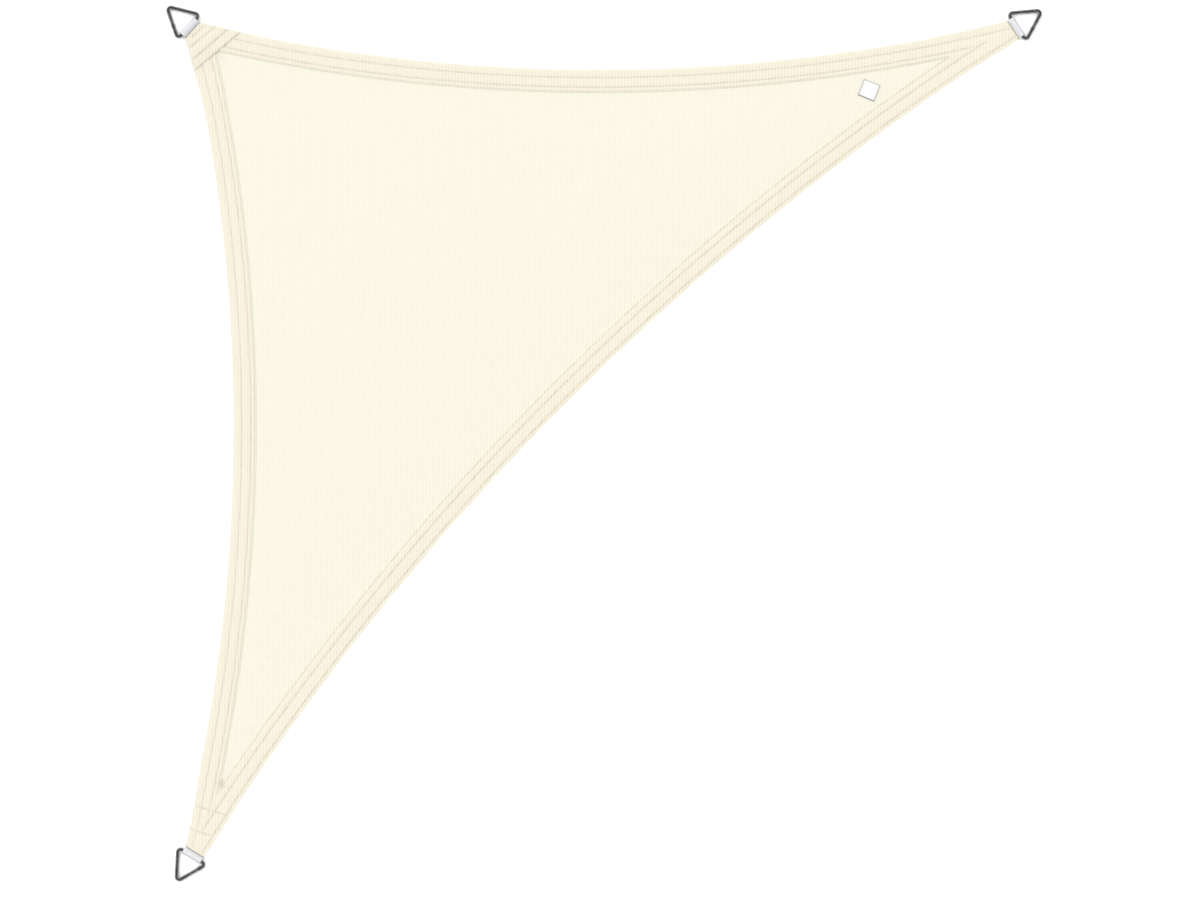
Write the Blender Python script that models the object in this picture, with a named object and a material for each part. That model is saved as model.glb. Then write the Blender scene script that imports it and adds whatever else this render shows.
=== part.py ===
# Right-angled triangular shade sail with three hollow-cut edges, lying flat on a surface.
#
# One sheet of knitted shade cloth with folded hems, a reinforcing patch sewn over the right-angled
# corner, and at every corner a folded loop of webbing that holds a welded triangular ring. A small
# blank label is sewn near one corner.
#
# Metres, +Z up. The origin is the centre of the square that the rings reach, on the surface that
# the sail lies on. The right angle points to -X +Y, and the long edge faces +X -Y.

import math

import bmesh
import bpy
from mathutils import Vector

# Overall size: the rings reach the sides of this square.
SIDE = 2.0
HALF = SIDE / 2

# Space left between pieces that touch on the real sail.
GAP = 0.0003

# Cloth and hems.
CLOTH = 0.0012              # one layer of cloth
HEM_WIDTH = 0.0535
HEM_TOP = 2 * CLOTH         # the hem is the sheet folded over once
STATION_LENGTH = 0.05       # longest straight run along a curved edge
CORNER_STATION = 0.02       # and along the last stretch to a corner

# Hollow edges, each an arc round a centre outside the sail. Columns: centre, radius.
EDGES = {
    "left": (Vector((-4.869, 0.039)), 4.0225),
    "long": (Vector((4.247, -4.224)), 6.117),
    "top": (Vector((-0.013, 4.869)), 4.0155),
}
FLARE_LENGTH = 0.20         # over the last stretch an edge leaves its arc to meet the cut end
CROSSING_ROUNDS = 12        # to find where a line crosses such a stretch

# Triangular rings, sizes at the middle of the round rod.
ROD_RADIUS = 0.0045
BAR_BEND = 0.0065           # bend radius at the two ends of the bar
TIP_BEND = 0.007
BAR_STRAIGHT = 0.0538
TIP_REACH = 0.0558          # from the bar to the centre of the tip's bend
BEND_STEPS = 8
WELD_LENGTH = 0.012
WELD_SWELL = 1.16           # rod radius at the weld, as a share of the plain rod's
WELD_SHAPE = ((-0.5, 1.0), (-0.35, WELD_SWELL), (0.35, WELD_SWELL), (0.5, 1.0))  # place, radius

# Webbing loops.
WEB = 0.0015                # webbing thickness
WEB_WIDTH = 0.0475
WEB_CLEARANCE = 0.0004      # between the webbing and the ring's bar
TAIL_LENGTH = 0.034         # webbing inside the corner of the cloth
CUT_FROM_BAR = 0.0105       # from the ring's bar to the cut end of the cloth
THROAT = 0.001              # webbing runs level for this far out of the cloth
LOOP_STEPS = 16

# Sewn corners: the cloth closes over both tails of the webbing, then ramps down to the hem.
LOOP_RADIUS = ROD_RADIUS + WEB_CLEARANCE + WEB / 2      # to the middle of the webbing
BAR_HEIGHT = LOOP_RADIUS + WEB / 2
TAILS = 2 * WEB + GAP                                   # both layers of webbing
POCKET_LOW = CLOTH
POCKET_HIGH = CLOTH + TAILS + 2 * GAP
CORNER_TOP = POCKET_HIGH + CLOTH
POCKET_DEPTH = TAIL_LENGTH + 0.001
POCKET_WIDTH = WEB_WIDTH + 2 * GAP
POCKET_OVERCUT = 0.005
CUT_WIDTH = POCKET_WIDTH + 2 * CLOTH
PLATEAU = 0.040
RAMP = 0.030
CORNER_ZONE = 0.2           # the corner's ramp is looked for within this distance of the cut
SNAP = 1e-5                 # points closer than this are one

# Reinforcing patch on the right-angled corner.
PATCH_REACH = 0.0765        # from the cut end, along the diagonal
PATCH_INSET = 0.002         # from the folded edges and from the cut end
PATCH_SKEW = math.radians(-4.5)

# Blank label.
LABEL_SIZE = 0.040
LABEL_THICKNESS = 0.001
LABEL_AT = (0.605, 0.807)
LABEL_TURN = math.radians(-23)
LABEL_ROUNDING = 0.0015

# Materials: colour, roughness, metallic.
FINISHES = {
    "shade_cloth": ((0.86, 0.82, 0.70), 0.85, 0.0),
    "webbing": ((0.80, 0.80, 0.81), 0.70, 0.0),
    "steel": ((0.62, 0.62, 0.63), 0.22, 1.0),
    "label": ((0.90, 0.90, 0.90), 0.60, 0.0),
}

# Corners, counter-clockwise from above. Columns: name, the centre of the ring's tip bend, the way
# the ring points, the edge that ends here, the edge that starts here, the side of the ring with the
# weld (1 is left of the way it points), and the weld's place between tip and bar.
TIP_OUT = TIP_BEND + ROD_RADIUS
FOOT_IN = 0.0306            # from the left side of the square to the foot ring's tip
RIGHT_IN = 0.0190           # from the top side of the square to the right ring's tip
CORNERS = (
    ("square", Vector((-HALF + TIP_OUT, HALF - TIP_OUT)), math.radians(137.5), "top", "left", 1, 0.62),
    ("foot", Vector((-HALF + FOOT_IN, -HALF + TIP_OUT)), math.radians(238.5), "left", "long", 1, 0.86),
    ("right", Vector((HALF - TIP_OUT, HALF - RIGHT_IN)), math.radians(33.5), "long", "top", -1, 0.62),
)


def direction(azimuth):
    return Vector((math.cos(azimuth), math.sin(azimuth)))


def bar_centre(tip, azimuth):
    return tip - TIP_REACH * direction(azimuth)


def cut_centre(tip, azimuth):
    return bar_centre(tip, azimuth) - CUT_FROM_BAR * direction(azimuth)


def arc_angle(edge, point):
    offset = point - EDGES[edge][0]
    return math.atan2(offset.y, offset.x)


def cut_corner(corner, edge):
    """The corner of the cloth's cut end that lies on an edge."""
    _, tip, azimuth, before, _, _, _ = corner
    side = 1 if edge == before else -1
    return cut_centre(tip, azimuth) - side * CUT_WIDTH / 2 * direction(azimuth + math.pi / 2)


def flare(edge, angle):
    """How far the edge stands out from its arc, near the corners at its ends."""
    centre, radius = EDGES[edge]
    total = 0.0
    for corner in CORNERS:
        if edge in corner[3:5]:
            end = cut_corner(corner, edge)
            distance = abs(angle - arc_angle(edge, end)) * radius
            share = max(0.0, 1 - (distance / FLARE_LENGTH) ** 2)
            total += (radius - (end - centre).length) * share ** 2
    return total


def outline_point(edge, angle, inset=0.0):
    centre, radius = EDGES[edge]
    return centre + (radius - flare(edge, angle) + inset) * direction(angle)


def hem_point(edge, angle):
    centre, radius = EDGES[edge]
    return centre + (radius + HEM_WIDTH) * direction(angle)


def angles_between(edge, start, end, station=STATION_LENGTH):
    """Angles along an edge, both ends included."""
    steps = math.ceil(abs(end - start) * EDGES[edge][1] / station)
    return [start + (end - start) * i / steps for i in range(steps + 1)]


def hems_meet(edge_a, edge_b, near):
    """Where the inner lines of two hems cross close to a point."""
    centre_a, radius_a = EDGES[edge_a]
    centre_b, radius_b = EDGES[edge_b]
    radius_a += HEM_WIDTH
    radius_b += HEM_WIDTH
    between = centre_b - centre_a
    span = between.length
    along = (radius_a ** 2 - radius_b ** 2 + span ** 2) / (2 * span)
    aside = math.sqrt(radius_a ** 2 - along ** 2)
    foot = centre_a + between * (along / span)
    across = Vector((-between.y, between.x)) * (aside / span)
    return min((foot + across, foot - across), key=lambda point: (point - near).length)


def angle_across(edge, origin, line, inset):
    """The angle at which an edge, moved in by the inset, crosses the line through a close point."""
    centre, radius = EDGES[edge]
    offset = origin - centre
    half_b = offset.dot(line)
    angle = arc_angle(edge, origin)
    for _ in range(CROSSING_ROUNDS):
        reach = radius - flare(edge, angle) + inset
        root = math.sqrt(half_b ** 2 - offset.length_squared + reach ** 2)
        angle = arc_angle(edge, origin + line * min((-half_b + root, -half_b - root), key=abs))
    return angle


def corner_height(point):
    """Height of the cloth's upper face over the hems and the thick corners."""
    for _, tip, azimuth, _, _, _, _ in CORNERS:
        cut = cut_centre(tip, azimuth)
        inward = (cut - point).dot(direction(azimuth))
        if (cut - point).length < CORNER_ZONE:
            share = min(1.0, max(0.0, (PLATEAU + RAMP - inward) / RAMP))
            return HEM_TOP + (CORNER_TOP - HEM_TOP) * share
    return HEM_TOP


def make_material(name):
    colour, roughness, metallic = FINISHES[name]
    material = bpy.data.materials.new(name)
    material.use_nodes = True
    shader = material.node_tree.nodes["Principled BSDF"]
    shader.inputs["Base Color"].default_value = (*colour, 1.0)
    shader.inputs["Roughness"].default_value = roughness
    shader.inputs["Metallic"].default_value = metallic
    return material


def add_object(name, data, material, location=(0, 0, 0), rotation=(0, 0, 0)):
    if material:                # a cutter has none
        data.materials.append(material)
    piece = bpy.data.objects.new(name, data)
    piece.location = location
    piece.rotation_euler = rotation
    bpy.context.collection.objects.link(piece)
    return piece


def mesh_from(bm, name):
    bmesh.ops.recalc_face_normals(bm, faces=bm.faces)
    mesh = bpy.data.meshes.new(name)
    bm.to_mesh(mesh)
    bm.free()
    return mesh


def cut_rows(bm, cut, axis, distances):
    """Split the faces round a corner along lines across it, so that each part is flat."""
    for distance in distances:
        near = [face for face in bm.faces
                if any((vert.co.xy - cut).length < CORNER_ZONE for vert in face.verts)]
        edges = {edge for face in near for edge in face.edges}
        verts = {vert for face in near for vert in face.verts}
        place = cut - distance * axis
        bmesh.ops.bisect_plane(bm, geom=[*verts, *edges, *near], dist=SNAP,
                               plane_co=(place.x, place.y, 0), plane_no=(axis.x, axis.y, 0))


def loop_edges(bm, inner):
    """Open edges of the hem's face: round the hole for the panel, or round the outside."""
    found = []
    for edge in bm.edges:
        if edge.is_boundary:
            ends_in = all(vert[bm.verts.layers.int["inner"]] for vert in edge.verts)
            if ends_in == inner:
                found.append(edge)
    return found


def drop_loop(bm, edges, height):
    """Pull an open loop of edges straight down to a height and close it with one flat face."""
    made = bmesh.ops.extrude_edge_only(bm, edges=edges)["geom"]
    for item in made:
        if isinstance(item, bmesh.types.BMVert):
            item.co.z = height
    rim = [item for item in made if isinstance(item, bmesh.types.BMEdge)
           and all(abs(vert.co.z - height) < SNAP for vert in item.verts)]
    bmesh.ops.contextual_create(bm, geom=rim)


def build_sail(material):
    """The cloth in one piece: thin panel, doubled hems and thick corners, flat underneath."""
    bm = bmesh.new()
    inner = bm.verts.layers.int.new("inner")

    def vert(point, is_inner=0):
        made = bm.verts.new((point.x, point.y, 0))
        made[inner] = is_inner
        return made

    hem_corner = {}
    for name, tip, azimuth, before, after, _, _ in CORNERS:
        hem_corner[name] = vert(hems_meet(before, after, cut_centre(tip, azimuth)), 1)

    ends = {}
    for corner, following in zip(CORNERS, CORNERS[1:] + CORNERS[:1]):
        name, next_name, edge = corner[0], following[0], corner[4]
        start, end = hem_corner[name], hem_corner[next_name]
        angles = angles_between(edge, arc_angle(edge, start.co.xy), arc_angle(edge, end.co.xy))
        outer_run = [vert(outline_point(edge, angle)) for angle in angles]
        inner_run = [start, *(vert(hem_point(edge, angle), 1) for angle in angles[1:-1]), end]
        for i in range(len(angles) - 1):
            bm.faces.new((outer_run[i], outer_run[i + 1], inner_run[i + 1], inner_run[i]))
        first_cut, last_cut = cut_corner(corner, edge), cut_corner(following, edge)
        leaving = angles_between(edge, arc_angle(edge, first_cut), angles[0], CORNER_STATION)[:-1]
        arriving = angles_between(edge, angles[-1], arc_angle(edge, last_cut), CORNER_STATION)[1:]
        ends[name, "after"] = [*(vert(outline_point(edge, angle)) for angle in leaving), outer_run[0]]
        ends[next_name, "before"] = [outer_run[-1], *(vert(outline_point(edge, angle)) for angle in arriving)]

    for name, tip, azimuth, *_ in CORNERS:
        bm.faces.new((*ends[name, "before"], *ends[name, "after"], hem_corner[name]))
        cut_rows(bm, cut_centre(tip, azimuth), direction(azimuth), (PLATEAU, PLATEAU + RAMP))

    for item in bm.verts:
        item.co.z = corner_height(item.co.xy)
    outside = loop_edges(bm, inner=False)
    drop_loop(bm, loop_edges(bm, inner=True), CLOTH)
    drop_loop(bm, outside, 0.0)

    sail = add_object("shade_cloth", mesh_from(bm, "shade_cloth"), material)
    for name, tip, azimuth, *_ in CORNERS:
        cutter = build_pocket_cutter(name, cut_centre(tip, azimuth), azimuth)
        pocket = sail.modifiers.new("pocket_" + name, "BOOLEAN")
        pocket.operation = "DIFFERENCE"
        pocket.solver = "EXACT"
        pocket.object = cutter
    return sail


def build_pocket_cutter(name, cut, azimuth):
    """The space between the layers of a corner, where both tails of the webbing are sewn in."""
    bm = bmesh.new()
    bmesh.ops.create_cube(bm, size=1)
    length = POCKET_DEPTH + POCKET_OVERCUT
    bmesh.ops.scale(bm, vec=(length, POCKET_WIDTH, POCKET_HIGH - POCKET_LOW), verts=bm.verts)
    bmesh.ops.translate(bm, vec=(POCKET_OVERCUT - length / 2, 0, (POCKET_HIGH + POCKET_LOW) / 2),
                        verts=bm.verts)
    cutter = add_object("pocket_cutter_" + name, mesh_from(bm, "pocket_cutter"), None,
                        (cut.x, cut.y, 0), (0, 0, azimuth))
    cutter.hide_render = True
    cutter.display_type = "WIRE"
    return cutter


def build_patch(material):
    """One layer of cloth over the right-angled corner, from the cut end to past its ramp."""
    _, tip, azimuth, before, after, _, _ = CORNERS[0]
    cut = cut_centre(tip, azimuth)
    axis = direction(azimuth)
    near_end = cut - PATCH_INSET * axis
    far_end = cut - PATCH_REACH * axis
    across = direction(azimuth + math.pi / 2)
    skewed = direction(azimuth + math.pi / 2 + PATCH_SKEW)

    def side(edge, start, start_line, end, end_line):
        first = angle_across(edge, start, start_line, PATCH_INSET)
        last = angle_across(edge, end, end_line, PATCH_INSET)
        angles = angles_between(edge, first, last, CORNER_STATION)
        return [outline_point(edge, angle, PATCH_INSET) for angle in angles]

    outline = [*side(before, far_end, skewed, near_end, across),
               *side(after, near_end, across, far_end, skewed)]
    bm = bmesh.new()
    bm.faces.new([bm.verts.new((point.x, point.y, 0)) for point in outline])
    cut_rows(bm, cut, axis, (PLATEAU, PLATEAU + RAMP))
    for item in bm.verts:
        item.co.z = corner_height(item.co.xy) + GAP
    made = bmesh.ops.extrude_face_region(bm, geom=bm.faces[:], use_keep_orig=True)["geom"]
    raised = [item for item in made if isinstance(item, bmesh.types.BMVert)]
    bmesh.ops.translate(bm, vec=(0, 0, CLOTH), verts=raised)
    return add_object("corner_patch", mesh_from(bm, "corner_patch"), material)


def tangent_angle(from_point, side):
    """Angle on the loop at which a straight run from a point just touches it, above or below."""
    to_point = Vector(from_point) - Vector((0, BAR_HEIGHT))
    facing = math.atan2(to_point.y, to_point.x)
    return facing - side * math.acos(LOOP_RADIUS / to_point.length)


def build_webbing(name, place, azimuth, material):
    """A strip of webbing folded round the ring's bar, with both tails level inside the cloth."""
    lower = POCKET_LOW + GAP + WEB / 2
    upper = lower + WEB + GAP
    tail_end = -CUT_FROM_BAR - TAIL_LENGTH
    throat = -CUT_FROM_BAR + THROAT
    start = tangent_angle((throat, upper), 1)
    end = tangent_angle((throat, lower), -1)
    turn = (end - start) % math.tau - math.tau
    profile = [(tail_end, upper), (throat, upper)]
    for i in range(LOOP_STEPS + 1):
        angle = start + turn * i / LOOP_STEPS
        profile.append((LOOP_RADIUS * math.cos(angle), BAR_HEIGHT + LOOP_RADIUS * math.sin(angle)))
    profile += [(throat, lower), (tail_end, lower)]

    bm = bmesh.new()
    verts = [bm.verts.new((along, -WEB_WIDTH / 2, height)) for along, height in profile]
    edges = [bm.edges.new(pair) for pair in zip(verts, verts[1:])]
    made = bmesh.ops.extrude_edge_only(bm, edges=edges)["geom"]
    far_side = [item for item in made if isinstance(item, bmesh.types.BMVert)]
    bmesh.ops.translate(bm, vec=(0, WEB_WIDTH, 0), verts=far_side)
    loop = add_object("webbing_" + name, mesh_from(bm, "webbing"), material,
                      (place.x, place.y, 0), (0, 0, azimuth))
    wall = loop.modifiers.new("thickness", "SOLIDIFY")
    wall.thickness = WEB
    wall.offset = 0
    wall.use_even_offset = True
    return loop


def ring_path():
    """Points along the middle of the rod, with each point's share of the side from tip to bar."""
    half_bar = BAR_STRAIGHT / 2
    bends = ((Vector((BAR_BEND, -half_bar)), BAR_BEND), (Vector((TIP_REACH, 0)), TIP_BEND),
             (Vector((BAR_BEND, half_bar)), BAR_BEND))
    facing = []
    for (centre, radius), (next_centre, next_radius) in zip(bends, bends[1:] + bends[:1]):
        between = next_centre - centre
        lean = math.asin((next_radius - radius) / between.length)
        facing.append(math.atan2(between.y, between.x) - math.pi / 2 - lean)
    points = []
    for i, (centre, radius) in enumerate(bends):
        turn = (facing[i] - facing[i - 1]) % math.tau
        for step in range(BEND_STEPS + 1):
            points.append(centre + radius * direction(facing[i - 1] + turn * step / BEND_STEPS))
    return points


def build_ring(name, place, azimuth, weld_side, weld_at, material):
    """A closed round rod bent to a triangle, with a slight swelling where its ends are welded."""
    points = ring_path()
    bend = BEND_STEPS + 1
    # The run from the tip's bend to the bar's bend, on the side that has the weld.
    if weld_side > 0:
        first, last = points[2 * bend - 1], points[2 * bend]
        insert_at = 2 * bend
    else:
        first, last = points[bend], points[bend - 1]
        insert_at = bend
    along = (last - first).normalized()
    middle = first.lerp(last, weld_at)
    bead = [(middle + along * WELD_LENGTH * share, swell) for share, swell in WELD_SHAPE]
    if weld_side < 0:
        bead.reverse()
    rod = [(point, 1.0) for point in points]
    rod[insert_at:insert_at] = bead

    curve = bpy.data.curves.new(name, "CURVE")
    curve.dimensions = "3D"
    curve.twist_mode = "Z_UP"
    curve.bevel_depth = ROD_RADIUS
    curve.bevel_resolution = 4
    curve.render_resolution_u = 0
    spline = curve.splines.new("POLY")
    spline.points.add(len(rod) - 1)
    for target, (point, swell) in zip(spline.points, rod):
        target.co = (point.x, point.y, 0, 1)
        target.radius = swell
    spline.use_cyclic_u = True
    tilt = math.atan2(BAR_HEIGHT - ROD_RADIUS, TIP_REACH + TIP_BEND)
    return add_object("ring_" + name, curve, material, (place.x, place.y, BAR_HEIGHT), (0, tilt, azimuth))


def build_label(material):
    bm = bmesh.new()
    bmesh.ops.create_cube(bm, size=1)
    bmesh.ops.scale(bm, vec=(LABEL_SIZE, LABEL_SIZE, LABEL_THICKNESS), verts=bm.verts)
    upright = [edge for edge in bm.edges
               if abs(edge.verts[0].co.z - edge.verts[1].co.z) > LABEL_THICKNESS / 2]
    bmesh.ops.bevel(bm, geom=upright, offset=LABEL_ROUNDING, segments=3, profile=0.5, affect="EDGES")
    return add_object("blank_label", mesh_from(bm, "blank_label"), material,
                      (*LABEL_AT, CLOTH + GAP + LABEL_THICKNESS / 2), (0, 0, LABEL_TURN))


def main():
    for old in list(bpy.data.objects):
        bpy.data.objects.remove(old, do_unlink=True)
    cloth, webbing, steel, label = (make_material(name) for name in FINISHES)
    build_sail(cloth)
    build_patch(cloth)
    build_label(label)
    for name, tip, azimuth, _, _, weld_side, weld_at in CORNERS:
        place = bar_centre(tip, azimuth)
        build_webbing(name, place, azimuth, webbing)
        build_ring(name, place, azimuth, weld_side, weld_at, steel)


main()
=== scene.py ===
# A right-angled shade sail laid flat: knitted cloth with folded hems, sewn corners, webbing and rings.
# Metres. The right angle points to -X +Y, and the long hollow edge faces +X -Y.

import math

import bmesh
import bpy
from mathutils import Matrix, Vector, noise


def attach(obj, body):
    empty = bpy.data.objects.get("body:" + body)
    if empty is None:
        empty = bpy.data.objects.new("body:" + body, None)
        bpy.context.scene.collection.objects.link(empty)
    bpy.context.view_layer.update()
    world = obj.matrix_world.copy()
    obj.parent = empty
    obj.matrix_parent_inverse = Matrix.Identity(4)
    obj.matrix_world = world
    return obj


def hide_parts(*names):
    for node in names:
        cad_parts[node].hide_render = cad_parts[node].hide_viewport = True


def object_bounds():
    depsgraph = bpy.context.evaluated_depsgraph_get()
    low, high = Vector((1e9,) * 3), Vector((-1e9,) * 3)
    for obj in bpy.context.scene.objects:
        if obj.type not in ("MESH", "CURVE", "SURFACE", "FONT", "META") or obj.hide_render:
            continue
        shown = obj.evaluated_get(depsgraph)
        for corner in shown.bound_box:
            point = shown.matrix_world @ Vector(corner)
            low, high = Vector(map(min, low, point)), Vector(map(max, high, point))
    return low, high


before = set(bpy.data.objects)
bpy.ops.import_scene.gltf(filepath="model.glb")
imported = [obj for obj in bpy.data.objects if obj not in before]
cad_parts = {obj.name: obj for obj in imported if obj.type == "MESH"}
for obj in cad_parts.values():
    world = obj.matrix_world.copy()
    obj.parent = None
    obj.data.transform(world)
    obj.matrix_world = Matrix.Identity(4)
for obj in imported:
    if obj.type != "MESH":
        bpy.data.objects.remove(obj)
cadLow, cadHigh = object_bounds()


# Camera: straight above the sail, a little off its middle.

camera = {
    "middle": (-0.0095, -0.0147),
    "widthSeen": 2.7413,  # across the whole picture, at the cloth
    "lens": 85.0,
    "sensor": 36.0,
}


def addObject(name, data):
    thing = bpy.data.objects.new(name, data)
    bpy.context.scene.collection.objects.link(thing)
    return thing


def makeCamera():
    data = bpy.data.cameras.new("camera")
    data.lens = camera["lens"]
    data.sensor_width = camera["sensor"]
    data.clip_end = 60
    eye = addObject("camera", data)
    eye.location = (*camera["middle"], camera["widthSeen"] * camera["lens"] / camera["sensor"])
    bpy.context.scene.camera = eye


makeCamera()


# Small helpers for meshes.

def direction(angle):
    return Vector((math.cos(angle), math.sin(angle)))


def smoothStep(low, high, value):
    share = min(1.0, max(0.0, (value - low) / (high - low)))
    return share * share * (3 - 2 * share)


def linkMesh(bm, name, material, sharpAngle=40):
    mesh = bpy.data.meshes.new(name)
    bm.to_mesh(mesh)
    bm.free()
    mesh.shade_smooth()
    mesh.set_sharp_from_angle(angle=math.radians(sharpAngle))
    mesh.materials.append(material)
    return addObject(name, mesh)


def thicken(piece, thickness, offset=0.0):
    wall = piece.modifiers.new("thickness", "SOLIDIFY")
    wall.thickness = thickness
    wall.offset = offset
    return wall


def onlyVerts(items):
    return [item for item in items if isinstance(item, bmesh.types.BMVert)]


def onlyEdges(items):
    return [item for item in items if isinstance(item, bmesh.types.BMEdge)]


def extrudeEdges(bm, edges):
    # the new verts, and the new edges between them
    made = bmesh.ops.extrude_edge_only(bm, edges=edges)["geom"]
    fresh = set(onlyVerts(made))
    return fresh, [edge for edge in onlyEdges(made) if all(vert in fresh for vert in edge.verts)]


def newGrid(bm, alongX, alongY):
    # the verts of a grid one unit wide, round the origin
    return bmesh.ops.create_grid(bm, x_segments=alongX, y_segments=alongY, size=0.5)["verts"]


def mapVert(vert, uv, place):
    for loop in vert.link_loops:
        loop[uv].uv = place


def placed(bm, matrix):
    bmesh.ops.transform(bm, matrix=matrix, verts=bm.verts)


# Small helpers for node trees.

def newNode(tree, kind, inputs, **settings):
    # a node with each input, by name or number, linked to a socket or set to a value
    node = tree.nodes.new("ShaderNode" + kind)
    for name, setting in settings.items():
        setattr(node, name, setting)
    for label, value in inputs.items():
        if isinstance(value, bpy.types.NodeSocket):
            tree.links.new(value, node.inputs[label])
        else:
            node.inputs[label].default_value = value
    return node


def nodeMath(tree, operation, *values):
    return newNode(tree, "Math", dict(enumerate(values)), operation=operation).outputs[0]


def nodeMix(tree, share, *colours):
    first, second = ((*colour, 1.0) if isinstance(colour, tuple) else colour for colour in colours)
    return newNode(tree, "Mix", {0: share, 6: first, 7: second}, data_type="RGBA").outputs[2]


def nodeWave(tree, value, rate, kind="SINE"):
    return nodeMath(tree, kind, nodeMath(tree, "MULTIPLY", value, rate))


def nodeRange(tree, value, low, high, outLow=0.0, outHigh=1.0):
    inputs = {"Value": value, "From Min": low, "From Max": high, "To Min": outLow, "To Max": outHigh}
    return newNode(tree, "MapRange", inputs, interpolation_type="SMOOTHSTEP").outputs["Result"]


def nodeNoise(tree, vector, scale, detail=2.0, roughness=0.5):
    inputs = {"Vector": vector, "Scale": scale, "Detail": detail, "Roughness": roughness}
    return newNode(tree, "TexNoise", inputs).outputs["Fac"]


def nodeStretch(tree, vector, scale):
    return newNode(tree, "Mapping", {"Vector": vector, "Scale": scale}).outputs["Vector"]


def nodeParts(tree, vector):
    return newNode(tree, "SeparateXYZ", {0: vector}).outputs


def coordinates(tree, kind):
    return tree.nodes.new("ShaderNodeTexCoord").outputs[kind]


def attribute(tree, name):
    node = tree.nodes.new("ShaderNodeAttribute")
    node.attribute_name = name
    return node.outputs["Fac"]


def newMaterial(name, roughness=0.7, metallic=0.0, specular=0.4):
    material = bpy.data.materials.new(name)
    material.use_nodes = True
    shader = material.node_tree.nodes["Principled BSDF"]
    shader.inputs["Roughness"].default_value = roughness
    shader.inputs["Metallic"].default_value = metallic
    shader.inputs["Specular IOR Level"].default_value = specular
    return material, material.node_tree, shader


def dress(tree, shader, colour, height, strength, distance):
    # the colour of a finish, and its bumps
    tree.links.new(colour, shader.inputs["Base Color"])
    bump = newNode(tree, "Bump", {"Height": height, "Strength": strength, "Distance": distance})
    tree.links.new(bump.outputs["Normal"], shader.inputs["Normal"])


def newGroup(name, outputs, **values):
    # a group that takes a vector and some numbers, and gives numbers
    group = bpy.data.node_groups.new(name, "ShaderNodeTree")
    group.interface.new_socket("Vector", in_out="INPUT", socket_type="NodeSocketVector")
    for label, value in values.items():
        socket = group.interface.new_socket(label, in_out="INPUT", socket_type="NodeSocketFloat")
        socket.default_value = value
    for label in outputs:
        group.interface.new_socket(label, in_out="OUTPUT", socket_type="NodeSocketFloat")
    return group, group.nodes.new("NodeGroupInput"), group.nodes.new("NodeGroupOutput")


def useGroup(tree, group, vector):
    return newNode(tree, "Group", {"Vector": vector}, node_tree=group).outputs


# Plan of the sail: three hollow edges, each an arc round a centre outside it, and three cut corners.

sail = {
    "cloth": 0.0010,  # one layer
    "hem": 0.0535,
    "loft": 0.0009,  # air between the two layers of a hem
    "rawRun": 0.0048,  # the upper layer slopes down to its raw edge over this width
    "rawDrop": 0.0012,
    "rawThin": 0.40,  # and is pressed thin there, as a share of its thickness
    "foldIn": 0.0014,  # where the folded edge starts to round
    "foldOut": 0.0009,  # how far it rounds out from there
    "foldSteps": 4,
    "station": 0.0115,  # along the hems
    "cornerCell": 0.0024,
    "panelCell": 0.028,
    "dent": 0.0028,  # half the width of the channel along a row of stitches
    "seamWidth": 0.0016,  # half the width of the darker line there: painted shade, with some soil
    "cutShadow": 2.0,  # how dark the painted shadow across the cut ends is, beside the webbing
    "flareLength": 0.20,
    "cutWidth": 0.0505,
    "cutFromBar": 0.0105,
    "cornerTop": 0.0063,  # over both tails of the webbing
    "cornerZone": 0.20,  # how far from its cut end a corner can be thick
    "ramp": (0.036, 0.070),  # where it thins out, from the cut end
    "dimple": 0.00030,  # how deep a row of stitches pulls the cloth down
    "lift": 0.00060,  # and how high it pulls the layer underneath up
    "dimpleWidth": 0.0024,
    "liftEnds": (0.0035, 0.0005),  # short of the panel
    "bulge": 0.00040,
    "bulgeRun": (0.002, 0.010),  # away from the rows and the folded edge
    "uneven": 0.0022,  # the panel's soft rise off the floor
    "unevenRun": (0.008, 0.15),  # inside the hem
    "broadWave": (2.6, 1.7, 3.1),  # turns a metre along X and Y, and a height in the noise
    "fineWave": (7.5, 5.0, 8.4),
    "scallop": 0.00035,  # along the folded edges
    "scallopWave": (431, 397),
    "tintRun": (0.0050, 0.0010),  # where the hem's tone ends, short of the panel and past it
    "rim": 0.0005,  # closer to the panel than this is the rim of the hem
    "merge": 2e-5,
}

hems = {  # rows: distances in from the edge; then how dark each row is painted: painted shade of its dent, with some soil
    "left": {"centre": Vector((-4.869, 0.039)), "radius": 4.0215,
             "rows": (0.0199, 0.0406, 0.0498), "shadeAndSoil": (0.65, 0.85, 0.25)},
    "long": {"centre": Vector((4.247, -4.224)), "radius": 6.1170,
             "rows": (0.0090, 0.0342, 0.0511), "shadeAndSoil": (1.15, 1.00, 1.00)},
    "top": {"centre": Vector((-0.013, 4.869)), "radius": 4.0145,
            "rows": (0.0187, 0.0406, 0.0507), "shadeAndSoil": (0.85, 1.00, 0.35)},
}

ring = {
    "rod": 0.0045,
    "barBend": 0.0065,
    "tipBend": 0.0070,
    "barStraight": 0.0538,
    "tipReach": 0.0558,
    "weldLength": 0.0105,
    # the weld's swelling: place along it, and thickness as a share of the rod's
    "weldShape": ((-0.50, 0.97), (-0.40, 1.09), (-0.12, 1.14), (0.22, 1.12), (0.40, 1.06), (0.50, 0.97)),
    "sides": 24,
    "bendSteps": 10,
}

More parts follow.
